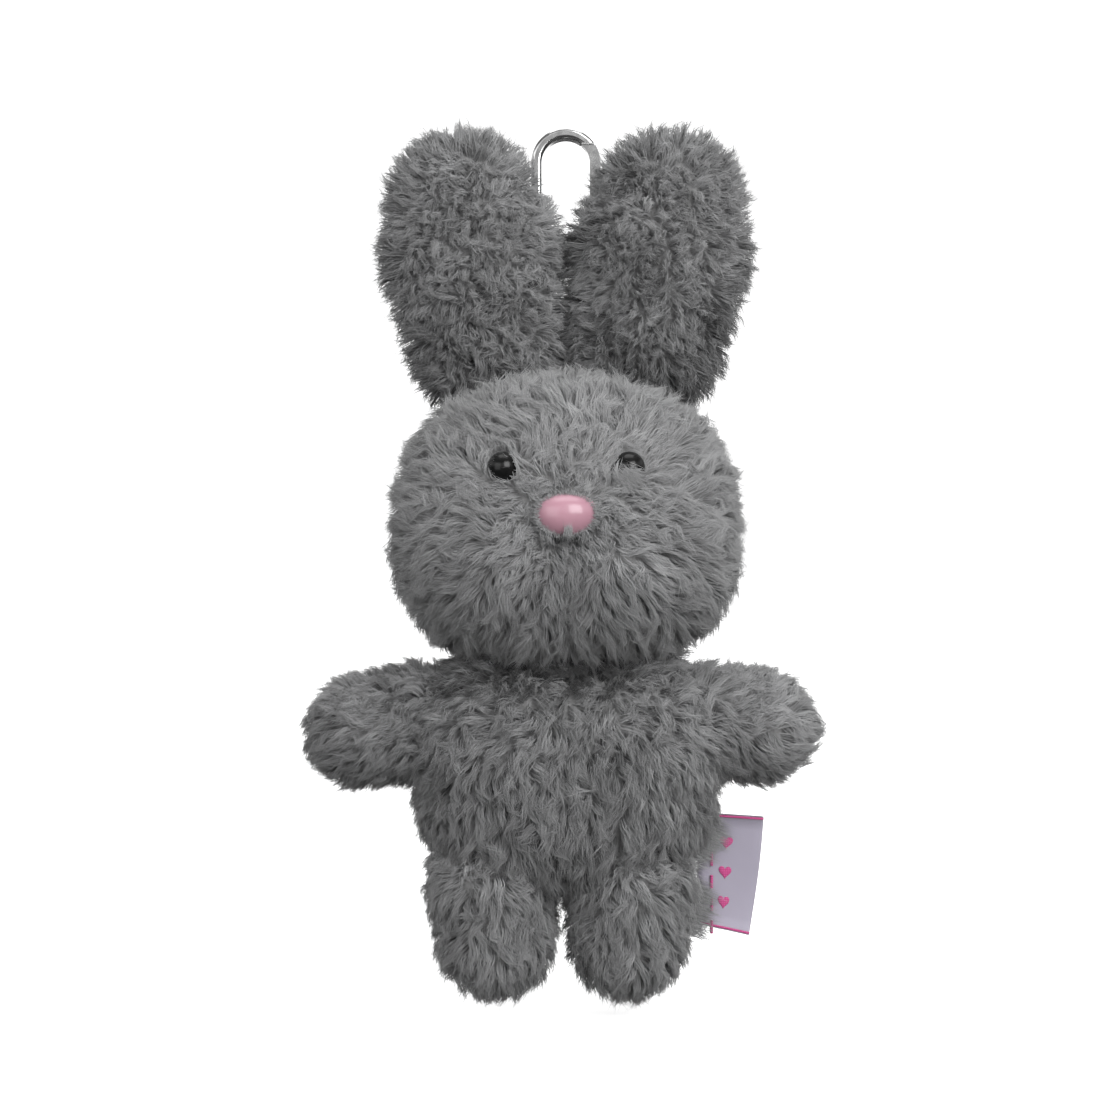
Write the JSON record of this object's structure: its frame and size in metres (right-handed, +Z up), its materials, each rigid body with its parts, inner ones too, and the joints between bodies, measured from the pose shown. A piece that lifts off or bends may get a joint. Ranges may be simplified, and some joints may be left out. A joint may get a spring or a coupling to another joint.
{
  "type": "plush keychain",
  "caption": "Small long-pile plush bunny with bead eyes, moulded nose and side label, hanging from a ribbon loop with a metal swivel lobster clasp.",
  "frame": {"origin": "centre of the round upper part of the clasp's hook opening, where it hangs", "axes": "+Z up from the feet to the ears, the face looks along -Y, +X to the toy's left arm"},
  "size_m": [0.0836, 0.0451, 0.1478],
  "materials": {
    "plush": "long soft pile",
    "stuffing": "polyester fibre fill",
    "eye_plastic": "polished black",
    "nose_plastic": "glossy pink",
    "washer_plastic": "natural moulded",
    "thread": "sewing thread",
    "label_thread": "sewing thread",
    "ribbon": "woven grosgrain",
    "label_tape": "satin woven tape",
    "clasp_metal": "polished nickel plate",
    "spring_steel": "drawn wire"
  },
  "bodies": {
    "torso": {"torso_front_panel": "plush", "torso_back_panel": "plush", "torso_stuffing": "stuffing", "closing_stitching": "thread"},
    "neck": {"neck_stitching": "thread"},
    "head": {"face_panel": "plush", "head_back_panel": "plush", "head_stuffing": "stuffing", "eye_left": "eye_plastic", "eye_right": "eye_plastic", "eye_washers": "washer_plastic", "nose": "nose_plastic", "nose_washer": "washer_plastic", "hang_loop": "ribbon", "loop_stitching": "thread"},
    "side_label": {"side_label": "label_tape", "label_stitching": "label_thread"},
    "swivel_eye": {"swivel_eye": "clasp_metal"},
    "clasp": {"clasp_hook": "clasp_metal", "gate_pin": "clasp_metal", "gate_spring": "spring_steel"},
    "gate": {"clasp_gate": "clasp_metal"},
    "ear_left": {"ear_left_front_panel": "plush", "ear_left_back_panel": "plush", "ear_left_stuffing": "stuffing"},
    "ear_right": {"ear_right_front_panel": "plush", "ear_right_back_panel": "plush", "ear_right_stuffing": "stuffing"},
    "arm_left": {"arm_left_front_panel": "plush", "arm_left_back_panel": "plush", "arm_left_stuffing": "stuffing"},
    "arm_right": {"arm_right_front_panel": "plush", "arm_right_back_panel": "plush", "arm_right_stuffing": "stuffing"},
    "leg_left": {"leg_left_front_panel": "plush", "leg_left_back_panel": "plush", "leg_left_stuffing": "stuffing"},
    "leg_right": {"leg_right_front_panel": "plush", "leg_right_back_panel": "plush", "leg_right_stuffing": "stuffing"}
  },
  "joints": [
    {"name": "neck_turn", "type": "hinge", "parent": "torso", "child": "neck", "pos_m": [0, -0.0126, -0.0867], "axis": [0, 0, 1], "range_deg": [-35, 35], "stiffness_Nm_per_rad": 0.02},
    {"name": "head_nod", "type": "hinge", "parent": "neck", "child": "head", "pos_m": [0, -0.0126, -0.084], "axis": [1, 0, 0], "range_deg": [-12, 12], "stiffness_Nm_per_rad": 0.03},
    {"name": "ear_left_flop", "type": "hinge", "parent": "head", "child": "ear_left", "pos_m": [-0.0143, -0.0096, -0.0416], "axis": [1, 0, 0], "range_deg": [-6, 50], "stiffness_Nm_per_rad": 0.004},
    {"name": "ear_right_flop", "type": "hinge", "parent": "head", "child": "ear_right", "pos_m": [0.0143, -0.0096, -0.0416], "axis": [1, 0, 0], "range_deg": [-6, 50], "stiffness_Nm_per_rad": 0.004},
    {"name": "arm_left_lift", "type": "hinge", "parent": "torso", "child": "arm_left", "pos_m": [-0.024, -0.0126, -0.0976], "axis": [0, 1, 0], "range_deg": [-30, 30], "stiffness_Nm_per_rad": 0.004},
    {"name": "arm_right_lift", "type": "hinge", "parent": "torso", "child": "arm_right", "pos_m": [0.024, -0.0126, -0.0976], "axis": [0, -1, 0], "range_deg": [-30, 30], "stiffness_Nm_per_rad": 0.004},
    {"name": "leg_left_swing", "type": "hinge", "parent": "torso", "child": "leg_left", "pos_m": [-0.0115, -0.0126, -0.1225], "axis": [-1, 0, 0], "range_deg": [-25, 60], "stiffness_Nm_per_rad": 0.004},
    {"name": "leg_right_swing", "type": "hinge", "parent": "torso", "child": "leg_right", "pos_m": [0.0115, -0.0126, -0.1225], "axis": [-1, 0, 0], "range_deg": [-25, 60], "stiffness_Nm_per_rad": 0.004},
    {"name": "label_fold", "type": "hinge", "parent": "torso", "child": "side_label", "pos_m": [0.0237, -0.0126, -0.1227], "axis": [0, 0, 1], "range_deg": [-60, 60], "stiffness_Nm_per_rad": 0.0002},
    {"name": "clasp_swing", "type": "hinge", "parent": "head", "child": "swivel_eye", "pos_m": [0, 0, -0.025], "axis": [-1, 0, 0], "range_deg": [0, 100], "stiffness_Nm_per_rad": 0.003},
    {"name": "clasp_swivel", "type": "hinge", "parent": "swivel_eye", "child": "clasp", "pos_m": [0, 0, -0.0154], "axis": [0, 0, 1], "continuous": true},
    {"name": "gate_open", "type": "hinge", "parent": "clasp", "child": "gate", "pos_m": [0.0039, 0, -0.011], "axis": [0, -1, 0], "range_deg": [0, 24]}
  ]
}
